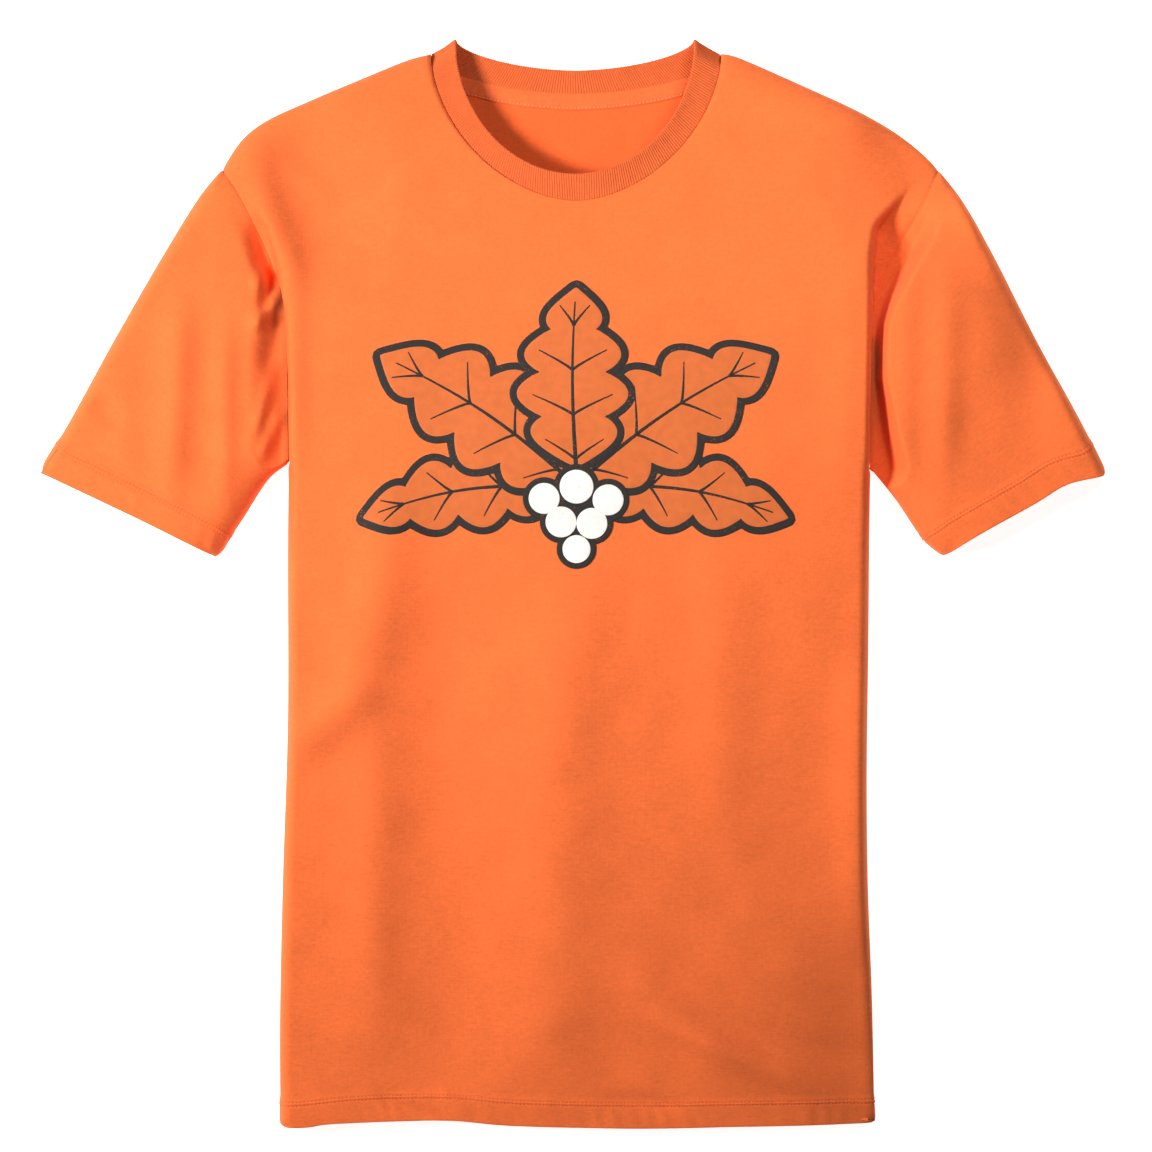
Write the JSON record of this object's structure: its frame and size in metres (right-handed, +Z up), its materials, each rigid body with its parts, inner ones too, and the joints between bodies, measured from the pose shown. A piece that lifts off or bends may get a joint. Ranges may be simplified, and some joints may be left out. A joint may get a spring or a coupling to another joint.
{
  "type": "t-shirt",
  "caption": "Short-sleeved crew-neck T-shirt in orange jersey, lying on its back, with a ribbed collar, a neck tape and an open hem and sleeves.",
  "frame": {"origin": "on the floor, under the middle of the shirt's bounding box", "axes": "+Z up through the front, +Y towards the collar, +X to the right as the front is looked at, as are left and right in the names"},
  "size_m": [0.7276, 0.7461, 0.043],
  "materials": {
    "jersey": "fine single jersey knit, matt, orange",
    "rib": "fine one-by-one rib knit, matt, orange",
    "tape": "plain narrow tape of the same jersey, stitched down"
  },
  "bodies": {
    "root": {"front_panel": "jersey", "back_panel": "jersey", "sleeve_left": "jersey", "sleeve_right": "jersey", "collar": "rib", "neck_tape": "tape"}
  },
  "joints": []
}
